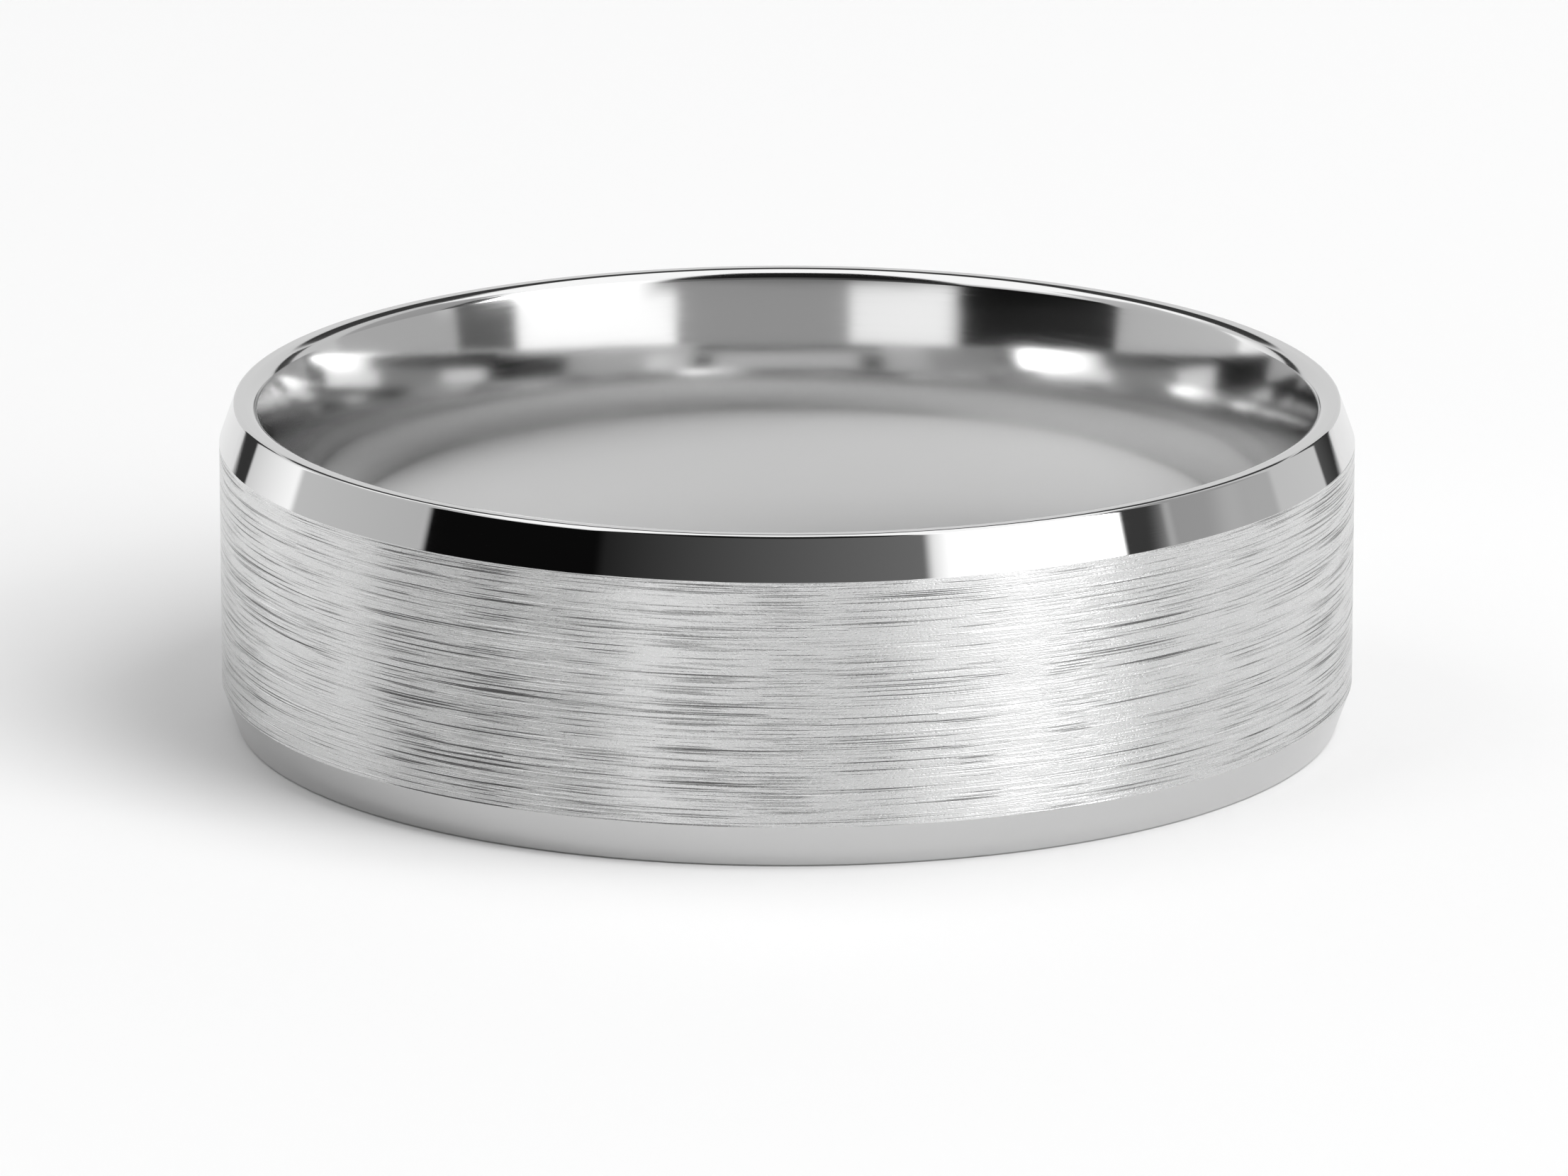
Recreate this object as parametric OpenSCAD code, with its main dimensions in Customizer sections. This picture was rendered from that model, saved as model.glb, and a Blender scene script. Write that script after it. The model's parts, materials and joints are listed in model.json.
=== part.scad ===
// Comfort-fit wedding band with bevelled edges, standing on its lower rim.
// The finger axis is Z and the lower rim lies on z = 0.

/* [Fit] */
// Bore diameter at the middle of the band, a European size 63
bore_d = 20.05; // [14:0.01:24]
// Length of the straight stretch at the middle of the bore
bore_land = 0.6; // [0.3:0.05:1]
// How far the domed bore opens out from its middle to each rim
dome_depth = 0.48; // [0.2:0.01:0.5]

/* [Band] */
// Width of the band along the finger
band_w = 6.5; // [4:0.1:10]
// Wall thickness at the middle of the band
wall = 1.175; // [1.15:0.005:2.6]

/* [Edges] */
// Height of each polished bevel, along the finger
bevel_h = 0.85; // [0.4:0.02:1.4]
// How far each bevel slopes in towards the bore
bevel_in = 0.32; // [0.15:0.01:0.33]
// Radius of the soft edge between each flat rim and the bore
inner_edge_r = 0.27; // [0.05:0.01:0.27]
// Radius of the crisp edge between each flat rim and its bevel
outer_edge_r = 0.1; // [0.03:0.005:0.1]

/* [Hidden] */
$fn = 180;

bore_r = bore_d / 2;
outer_r = bore_r + wall;
mid_z = band_w / 2;

// The dome is one arc through both rims. Its crown is cut off flat by crown, to leave the bore land.
dome_r = (pow(mid_z, 2) + pow(dome_depth, 2)) / (2 * dome_depth);
crown = dome_r - sqrt(pow(dome_r, 2) - pow(bore_land / 2, 2));
dome_x = bore_r - crown + dome_r;

// The rim's outer edge: where the bevel's slope meets the rim, and the arc that softens it.
slope = atan2(bevel_in, bevel_h);
rim_x = outer_r - bevel_in;
outer_edge = [rim_x - outer_edge_r * tan((90 - slope) / 2), outer_edge_r];

// The rim's inner edge: an arc tangent to the rim and to the dome. It meets the dome at the angle lean.
lean = asin((mid_z - inner_edge_r) / (dome_r - inner_edge_r));
inner_edge = [dome_x - (dome_r - inner_edge_r) * cos(lean), inner_edge_r];

// Cross-section of the lower half, from the rim at z = 0 up to mid_z
module half_section() {
    difference() {
        union() {
            intersection() {
                translate([dome_x, mid_z]) circle(r = dome_r);
                polygon([
                    [bore_r - crown - 1, mid_z],
                    inner_edge - [cos(lean), sin(lean)],
                    inner_edge,
                    [inner_edge.x, 0],
                    [outer_edge.x, 0],
                    outer_edge + outer_edge_r * [cos(slope), -sin(slope)],
                    [outer_r, bevel_h],
                    [outer_r, mid_z],
                ]);
            }
            translate(inner_edge) circle(r = inner_edge_r);
            translate(outer_edge) circle(r = outer_edge_r);
        }
        square([bore_r, mid_z]);
    }
}

// The whole ring: one turned solid
module band() {
    color("gainsboro") rotate_extrude() {
        half_section();
        translate([0, band_w]) mirror([0, 1]) half_section();
    }
}

band();
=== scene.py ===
"""Looks of the wedding band: the ring mesh, its two finishes, the studio and the camera."""

import json
import math

import bpy
import numpy as np
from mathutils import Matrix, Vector


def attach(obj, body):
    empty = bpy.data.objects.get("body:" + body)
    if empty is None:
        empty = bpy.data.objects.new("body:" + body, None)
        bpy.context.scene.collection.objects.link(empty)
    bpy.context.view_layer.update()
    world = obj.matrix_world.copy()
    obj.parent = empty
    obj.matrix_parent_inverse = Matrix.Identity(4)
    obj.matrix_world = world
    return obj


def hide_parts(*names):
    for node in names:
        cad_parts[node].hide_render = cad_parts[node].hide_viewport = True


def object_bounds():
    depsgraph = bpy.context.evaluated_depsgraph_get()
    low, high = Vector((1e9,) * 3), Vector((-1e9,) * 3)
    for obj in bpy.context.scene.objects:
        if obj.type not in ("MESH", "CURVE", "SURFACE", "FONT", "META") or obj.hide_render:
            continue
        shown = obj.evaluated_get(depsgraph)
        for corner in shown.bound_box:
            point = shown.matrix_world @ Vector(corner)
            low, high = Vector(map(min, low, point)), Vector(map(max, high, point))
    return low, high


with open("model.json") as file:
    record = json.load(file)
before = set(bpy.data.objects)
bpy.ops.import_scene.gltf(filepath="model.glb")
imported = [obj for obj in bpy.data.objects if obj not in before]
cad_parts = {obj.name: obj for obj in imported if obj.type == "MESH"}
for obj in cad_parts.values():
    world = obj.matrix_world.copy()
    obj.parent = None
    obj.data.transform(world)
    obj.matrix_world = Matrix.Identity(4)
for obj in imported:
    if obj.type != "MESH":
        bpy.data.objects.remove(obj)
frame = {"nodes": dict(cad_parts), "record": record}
cad_lo, cad_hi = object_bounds()

MM = 0.001
FACE, EDGES, BORE = 0, 1, 2  # the ring's material slots


# ---------------------------------------------------------------- sizes, read from the CAD band

cad = frame["nodes"]["band"]
points = np.array([v.co for v in cad.data.vertices])
radii = np.hypot(points[:, 0], points[:, 1])
tiny = 0.002 * MM  # within this, two CAD measures are the same
hair = 0.0001 * MM  # and two of the ring mesh

height = cad_hi.z - cad_lo.z
outer_r = min(cad_hi.x, cad_hi.y)
bore_r = next(m for m in frame["record"]["mounts"] if m["kind"] == "bore")["dims"]["r_mm"] * MM
rim_in = radii[points[:, 2] < tiny].min()  # the flat rim's inner and outer radius
rim_out = radii[points[:, 2] < tiny].max()
bevel_h = points[radii > cad_hi.x - tiny, 2].min()

inner_edge = 0.27 * MM  # radius of the rim's edge towards the bore
outer_edge = 0.10 * MM  # radius of the rim's edge towards the bevel
face_edge = 0.03 * MM  # radius of the edge between bevel and brushed face


# ---------------------------------------------------------------- ring mesh


def arc(centre, radius, start, end, steps):
    """Points and outward normals on an arc, with angles in radians in the (r, z) plane."""
    out = []
    for i in range(steps + 1):
        angle = start + (end - start) * i / steps
        normal = (math.cos(angle), math.sin(angle))
        point = (centre[0] + radius * normal[0], centre[1] + radius * normal[1])
        out.append((*point, normal))
    return out


def half_outline():
    """The lower half of the section, from the middle of the face round to the middle of the bore."""
    face_steps, face_edge_steps, outer_edge_steps, inner_edge_steps, dome_steps = 12, 6, 10, 20, 30
    mid = height / 2
    # the slope's angle from the vertical, for a bevel tangent to the rim's outer edge
    slope = math.atan2(outer_r - rim_out, bevel_h)
    for _ in range(8):
        back = outer_edge * math.tan((math.pi / 2 - slope) / 2)
        slope = math.atan2(outer_r - rim_out - back, bevel_h)
    face = (outer_r - face_edge, bevel_h + face_edge * math.tan(slope / 2))
    drop = (face[1] - mid) / face_steps
    out = [(outer_r, mid + drop * i, (1, 0)) for i in range(face_steps)]
    out += arc(face, face_edge, 0, -slope, face_edge_steps)
    out += arc((rim_out, outer_edge), outer_edge, -slope, -math.pi / 2, outer_edge_steps)
    # the dome: one arc from the middle of the bore to the rim's inner edge
    across, along = rim_in - bore_r, mid - inner_edge
    dome_r = (along**2 + across**2 - inner_edge**2) / (2 * (across - inner_edge))
    dome_x = bore_r + dome_r
    # the rim's inner edge, tangent to the rim and to the dome
    lean = math.asin((mid - inner_edge) / (dome_r - inner_edge))
    inner_x = dome_x - (dome_r - inner_edge) * math.cos(lean)
    out += arc((inner_x, inner_edge), inner_edge, -math.pi / 2, -math.pi + lean, inner_edge_steps)
    out += arc((dome_x, mid), dome_r, math.pi + lean, math.pi, dome_steps)[1:]
    return out


def ring(name, segments):
    """A closed turned mesh with exact normals."""
    low = half_outline()
    high = [(r, height - z, (n[0], -n[1])) for r, z, n in low[-2:0:-1]]
    outline = low + high
    count = len(outline)
    coords, normals = [], []
    for step in range(segments):
        turn = 2 * math.pi * step / segments
        x, y = math.cos(turn), math.sin(turn)
        for r, z, n in outline:
            coords.append((r * x, r * y, z))
            normals.append((n[0] * x, n[0] * y, n[1]))
    faces, slots = [], []
    for step in range(segments):
        here, there = step * count, (step + 1) % segments * count
        for i in range(count):
            j = (i + 1) % count
            faces.append((here + i, here + j, there + j, there + i))
            if min(outline[i][0], outline[j][0]) > outer_r - hair:
                slots.append(FACE)
            elif outline[i][0] < rim_in - inner_edge / 2:
                slots.append(BORE)
            else:
                slots.append(EDGES)
    mesh = bpy.data.meshes.new(name)
    mesh.from_pydata(coords, [], faces)
    mesh.polygons.foreach_set("material_index", slots)
    mesh.polygons.foreach_set("use_smooth", [True] * len(faces))
    mesh.update()
    mesh.normals_split_custom_set_from_vertices([Vector(n).normalized() for n in normals])
    obj = bpy.data.objects.new(name, mesh)
    bpy.context.scene.collection.objects.link(obj)
    return obj


# ---------------------------------------------------------------- materials


class Nodes:
    """Short calls for building a node tree."""

    def __init__(self, tree):
        self.tree = tree
        tree.nodes.clear()

    def add(self, kind, inputs=(), **settings):
        node = self.tree.nodes.new(kind)
        for key, value in settings.items():
            setattr(node, key, value)
        for key, value in dict(inputs).items():
            self.feed(node.inputs[key], value)
        return node

    def feed(self, socket, value):
        if isinstance(value, bpy.types.NodeSocket):
            self.tree.links.new(value, socket)
        else:
            socket.default_value = value

    def math(self, operation, a, b=0.0, c=0.0):
        return self.add("ShaderNodeMath", {0: a, 1: b, 2: c}, operation=operation).outputs[0]

    def remap(self, value, low, high, to_low=0.0, to_high=1.0, smooth=False):
        ends = {"From Min": low, "From Max": high, "To Min": to_low, "To Max": to_high}
        return self.add(
            "ShaderNodeMapRange",
            {"Value": value, **ends},
            interpolation_type="SMOOTHSTEP" if smooth else "LINEAR",
        ).outputs["Result"]

    def mix(self, factor, low, high):
        """A number between two numbers."""
        return self.add(
            "ShaderNodeMix", {"Factor": factor, "A": low, "B": high}, data_type="FLOAT"
        ).outputs["Result"]

    def greys(self, factor, low, high):
        """A colour between two greys."""
        ends = {"A": (low, low, low, 1), "B": (high, high, high, 1)}
        return self.add("ShaderNodeMix", {"Factor": factor, **ends}, data_type="RGBA").outputs["Result"]

    def where(self):
        """The place on the object, in metres."""
        return self.add("ShaderNodeTexCoord").outputs["Object"]

    def stretched(self, along, across, seed):
        """Coordinates that run slowly around the band: 1 is along or across millimetres."""
        around, up = 1 / (along * MM), 1 / (across * MM)
        shift = (seed, seed * 1.7, seed * 2.3)
        return self.add(
            "ShaderNodeMapping",
            {"Vector": self.where(), "Location": shift, "Scale": (around, around, up)},
        ).outputs["Vector"]

    def streaks(self, along, across, seed, detail=2.0):
        """Noise drawn out around the band: features about along by across millimetres."""
        place = self.stretched(along, across, seed)
        return self.add(
            "ShaderNodeTexNoise", {"Vector": place, "Scale": 1.0, "Detail": detail, "Roughness": 0.5}
        ).outputs["Fac"]

    def scratches(self, along, across, seed, low, high):
        """Lines around the band, each about along by across millimetres and low to high deep."""
        cell_edge = 0.5
        place = self.stretched(along, across, seed)
        cells = self.add("ShaderNodeTexVoronoi", {"Vector": place, "Scale": 1.0}).outputs
        line = self.remap(cells["Distance"], 0.0, cell_edge, 1.0, 0.0, smooth=True)
        chance = self.add("ShaderNodeSeparateColor", {0: cells["Color"]}).outputs[0]
        return self.math("MULTIPLY", line, self.remap(chance, 0.0, 1.0, low, high))


def new_material(name):
    mat = bpy.data.materials.new(name)
    mat.use_nodes = True
    return mat, Nodes(mat.node_tree)


def polished_gold(name, low, high, wave):
    """Mirror polish with a roughness from low to high. Its waves are wave thousandths of a mm deep."""
    mark_depth = 0.02  # of the wheel marks, also in thousandths of a mm
    mat, n = new_material(name)
    marks = n.streaks(1.6, 0.03, 3.1, detail=3.0)
    haze = n.streaks(2.5, 1.2, 7.7)
    waves = n.streaks(1.5, 0.8, 6.3, detail=1.0)
    blur = n.math("MULTIPLY_ADD", marks, 0.5, n.math("MULTIPLY", haze, 0.5))
    relief = n.math("MULTIPLY_ADD", marks, mark_depth / wave, waves)
    depth = wave * MM * 0.001
    bump = n.add("ShaderNodeBump", {"Height": relief, "Strength": 1.0, "Distance": depth})
    shader = n.add(
        "ShaderNodeBsdfPrincipled",
        {
            "Base Color": n.greys(haze, 0.735, 0.755),
            "Metallic": 1.0,
            "Roughness": n.remap(blur, 0.3, 0.7, low, high),
            "Normal": bump.outputs["Normal"],
        },
    )
    n.add("ShaderNodeOutputMaterial", {"Surface": shader.outputs[0]})
    return mat


def brushed_gold():
    """Satin lines around the band: long scratches, short hairs and a fine grain, with painted shade and
    deeper scratches on one side.
    """
    relief_depth = 0.017 * MM
    painted_shade_side = (-0.53, -0.85, 0)  # painted shade for a dark reflection: the face is darker, and its scratches deeper, 32 degrees to the left of the front
    mat, n = new_material("brushed_white_gold")
    long_lines = n.scratches(4.2, 0.034, 1.3, -1.1, 1.3)
    hairs = n.scratches(1.8, 0.023, 5.9, -1.2, 1.3)
    grain = n.streaks(0.05, 0.022, 4.4, detail=1.0)
    patches = n.remap(n.streaks(2.2, 0.35, 2.2), 0.35, 0.65, 0.7, 1.2)
    side = n.add("ShaderNodeVectorMath", {0: n.where(), 1: painted_shade_side}, operation="DOT_PRODUCT")
    # towards that side the scratches cut up to 3.2 times deeper and the tone is darker: painted shade
    cut_depth_and_painted_shade = n.remap(side.outputs["Value"], 0.95 * outer_r, outer_r, 1.0, 3.2, smooth=True)
    cut = n.math("MULTIPLY", n.math("MULTIPLY_ADD", hairs, 0.7, long_lines), patches)
    cut = n.math("MULTIPLY", cut, cut_depth_and_painted_shade)
    relief = n.math("MULTIPLY_ADD", grain, 0.45, n.math("MULTIPLY", cut, -1.0))
    bump = n.add("ShaderNodeBump", {"Height": relief, "Strength": 1.0, "Distance": relief_depth})
    # the tone darkens along the scratches, and more again on the side with painted shade
    shade = n.remap(n.math("MULTIPLY_ADD", cut_depth_and_painted_shade, 0.1, cut), -0.1, 1.0)
    shader = n.add(
        "ShaderNodeBsdfPrincipled",
        {
            "Base Color": n.greys(shade, 0.95, 0.16),
            "Metallic": 1.0,
            "Roughness": n.remap(grain, 0.3, 0.7, 0.26, 0.32),
            "Anisotropic": 0.75,
            "Anisotropic Rotation": 0.25,
            "Normal": bump.outputs["Normal"],
            "Tangent": n.add("ShaderNodeTangent", direction_type="RADIAL", axis="Z").outputs[0],
        },
    )
    n.add("ShaderNodeOutputMaterial", {"Surface": shader.outputs[0]})
    return mat


band = ring("ring_band", segments=600)
band.data.materials.append(brushed_gold())
band.data.materials.append(polished_gold("polished_white_gold", 0.02, 0.05, 0.05))
band.data.materials.append(polished_gold("polished_bore", 0.09, 0.13, 1.2))
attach(band, "root")
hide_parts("band")


# ---------------------------------------------------------------- studio

# Panels round the ring. Bearings are in degrees from the camera's side, positive to its right and past
# 180 behind the ring, and heights are degrees above the floor: (from, to, bottom, top, brightness at
# "from", brightness at "to", edge softness). Each one covers those before it.
PANELS = {
    "back_dark": (126, 222, 28, 56, 0.05, 0.05, 4),
    "front_dark": (-42, 30, 16.4, 78, 0.010, 0.18, 3),
    "front_dark_top": (-42, 30, 34, 78, 0.010, 0.012, 4),
    "front_low": (-16, 25, -10, 16.4, 0.37, 0.36, 2),
    "left_strip": (-37, -14, -10, 16.4, 1.15, 1.10, 3),
    "left_flag_low": (-79, -39, -10, 14, 0.030, 0.010, 3),
    "left_flag": (-79, -39, 12, 27, 0.004, 0.004, 3),
    "left_wall": (-118, -79, -10, 50, 0.65, 0.56, 3),
    "left_back": (-138, -117, -10, 24, 0.75, 1.25, 3),
    "back_flag_left": (-147, -138, -10, 24, 0.04, 0.04, 1.5),
    "right_box": (25, 63, -10, 15, 1.35, 1.35, 2.5),
    "right_box_top": (29.5, 73, 14, 42, 0.90, 5.90, 3),
    "right_flag": (63, 79, -10, 14, 0.14, 0.12, 3),
    "right_flag_top": (72, 84, 14, 40, 0.05, 0.05, 3),
    "right_wall": (79, 117, -10, 10, 0.50, 0.50, 3),
    "right_wall_top": (84, 117, 10, 50, 0.38, 0.42, 4),
    "right_back": (116, 137, -10, 50, 0.66, 0.70, 3),
    "back_flag_right": (136.5, 147, -10, 24, 0.10, 0.02, 1.5),
}
WALL = 0.76  # all the rest of the studio below the ceiling
CEILING = 1.25
CORNICE = (32, 44)  # degrees above the floor, over which wall turns to ceiling
SEEN = 0.93  # the open background, as the camera sees it


def window(n, value, low, high, soft):
    """1 between low and high, fading to 0 over soft degrees at each end."""
    rise = n.remap(value, low - soft / 2, low + soft / 2, smooth=True)
    fall = n.remap(value, high - soft / 2, high + soft / 2, 1.0, 0.0, smooth=True)
    return n.math("MULTIPLY", rise, fall)


def studio():
    world = bpy.data.worlds.new("studio")
    world.use_nodes = True
    bpy.context.scene.world = world
    n = Nodes(world.node_tree)
    ray = n.add("ShaderNodeTexCoord").outputs["Generated"]
    part = n.add("ShaderNodeSeparateXYZ", {0: ray}).outputs
    back = n.math("MULTIPLY", part["Y"], -1.0)
    bearing = n.math("DEGREES", n.math("ARCTAN2", part["X"], back))
    lift = n.math("DEGREES", n.math("ARCSINE", part["Z"]))
    light = n.remap(lift, *CORNICE, WALL, CEILING, smooth=True)
    for start, end, low, high, level, level_to, soft in PANELS.values():
        half = (end - start) / 2
        across = n.math("WRAP", n.math("SUBTRACT", bearing, (start + end) / 2), 180, -180)
        beside = window(n, across, -half, half, soft)
        where = n.math("MULTIPLY", beside, window(n, lift, low, high, soft))
        light = n.mix(where, light, n.remap(across, -half, half, level, level_to))
    seen = n.add("ShaderNodeLightPath").outputs["Is Camera Ray"]
    shader = n.add("ShaderNodeBackground", {"Color": n.mix(seen, light, SEEN), "Strength": 1.0})
    n.add("ShaderNodeOutputWorld", {"Surface": shader.outputs[0]})


def key_light():
    """A softbox to the right and a little in front, which casts the shadow to the left."""
    bearing, lift, away, side = 66, 54, 0.60, 0.42
    light = bpy.data.lights.new("key", "AREA")
    light.shape = "SQUARE"
    light.size = side
    light.energy = 1.40
    lamp = bpy.data.objects.new("key", light)
    b, e = math.radians(bearing), math.radians(lift)
    spot = Vector((math.sin(b) * math.cos(e), -math.cos(b) * math.cos(e), math.sin(e)))
    lamp.location = spot * away
    lamp.rotation_mode = "QUATERNION"
    lamp.rotation_quaternion = (-spot).to_track_quat("-Z", "Y")
    bpy.context.scene.collection.objects.link(lamp)
    lamp.visible_glossy = False  # the panels make the reflections


def floor_sheet():
    """White paper that fades into the open background past the ring's shadow."""
    half = 130 * MM
    under = 0.0005 * MM  # keeps the paper from touching the rim's own plane
    mesh = bpy.data.meshes.new("floor")
    corners = [(-half, -half), (half, -half), (half, half), (-half, half)]
    mesh.from_pydata([(x, y, 0) for x, y in corners], [], [(0, 1, 2, 3)])
    floor = bpy.data.objects.new("floor", mesh)
    bpy.context.scene.collection.objects.link(floor)
    mat, n = new_material("paper")
    away = n.add("ShaderNodeVectorMath", {0: n.where()}, operation="LENGTH").outputs["Value"]
    # to the camera the paper is painted darker inside the band, as painted shade, and white past it; in
    # reflections it is painted greyer close to the band, also painted shade
    seen = n.add("ShaderNodeLightPath").outputs["Is Camera Ray"]
    seen_grey_with_painted_shade = n.remap(away, bore_r, outer_r, 0.76, 0.92, smooth=True)
    # painted shade in reflections: greyer within 14 to 40 mm of the middle
    mirrored_grey_with_painted_shade = n.remap(away, 14 * MM, 40 * MM, 0.76, 0.88, smooth=True)
    paper = n.add("ShaderNodeBsdfDiffuse", {"Color": n.mix(seen, mirrored_grey_with_painted_shade, seen_grey_with_painted_shade)})
    clear = n.add("ShaderNodeBsdfTransparent")
    fade = n.remap(away, 70 * MM, 120 * MM, smooth=True)
    shader = n.add("ShaderNodeMixShader", {0: fade, 1: paper.outputs[0], 2: clear.outputs[0]})
    n.add("ShaderNodeOutputMaterial", {"Surface": shader.outputs[0]})
    mesh.materials.append(mat)
    floor.location.z = -under


def camera():
    """From the front, 15 degrees above the floor, through a long lens."""
    lift, away = math.radians(14.9), 0.2395
    data = bpy.data.cameras.new("camera")
    data.sensor_width = 36
    data.lens = 277.9
    data.clip_start = 0.01
    data.clip_end = 10
    cam = bpy.data.objects.new("camera", data)
    cam.location = (0, -away * math.cos(lift), away * math.sin(lift) + height / 2)
    target = Vector((-0.06 * MM, 0, 2.545 * MM))  # puts the band at its place in the frame
    cam.rotation_mode = "QUATERNION"
    cam.rotation_quaternion = (target - cam.location).to_track_quat("-Z", "Y")
    bpy.context.scene.collection.objects.link(cam)
    bpy.context.scene.camera = cam


studio()
key_light()
floor_sheet()
camera()
bpy.context.scene.view_settings.view_transform = "Standard"
bpy.context.scene.cycles.glossy_bounces = 12  # light crosses the bore many times
